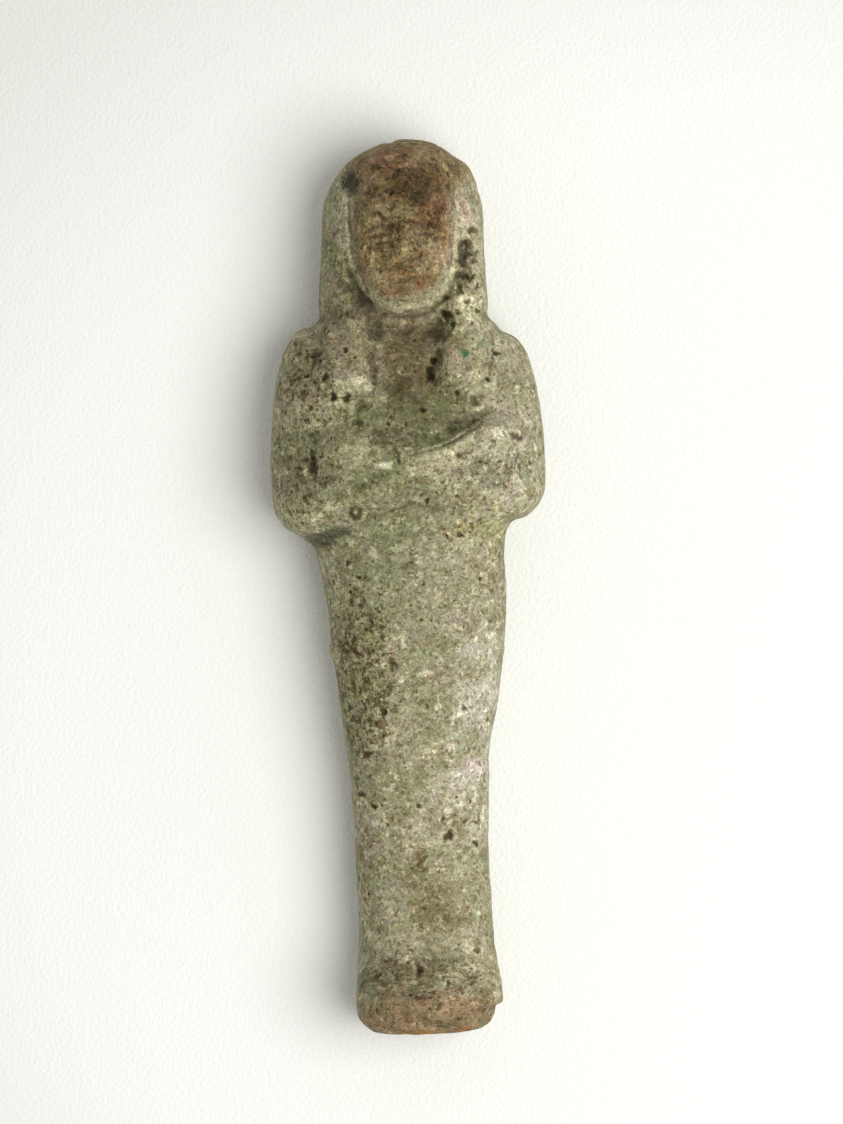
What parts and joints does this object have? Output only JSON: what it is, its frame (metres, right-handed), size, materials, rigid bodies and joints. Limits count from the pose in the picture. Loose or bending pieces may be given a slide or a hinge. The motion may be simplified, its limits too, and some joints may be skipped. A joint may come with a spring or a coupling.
{
  "type": "ushabti figurine",
  "caption": "Mummy-shaped funerary figurine in worn moulded faience, with a bag wig, crossed arms and feet that jut forward. It lies on its back.",
  "frame": {"origin": "centre of the plan of the figure, on the plane that its back rests on", "axes": "+Y from the sole to the crown, +Z out of the chest, +X to the right of someone who looks down on the figure"},
  "size_m": [0.034, 0.11, 0.0216],
  "materials": {
    "faience": "matte, weathered, glaze almost gone, with brown iron staining and small pits"
  },
  "bodies": {
    "root": {"ushabti_figurine": "faience"}
  },
  "joints": []
}
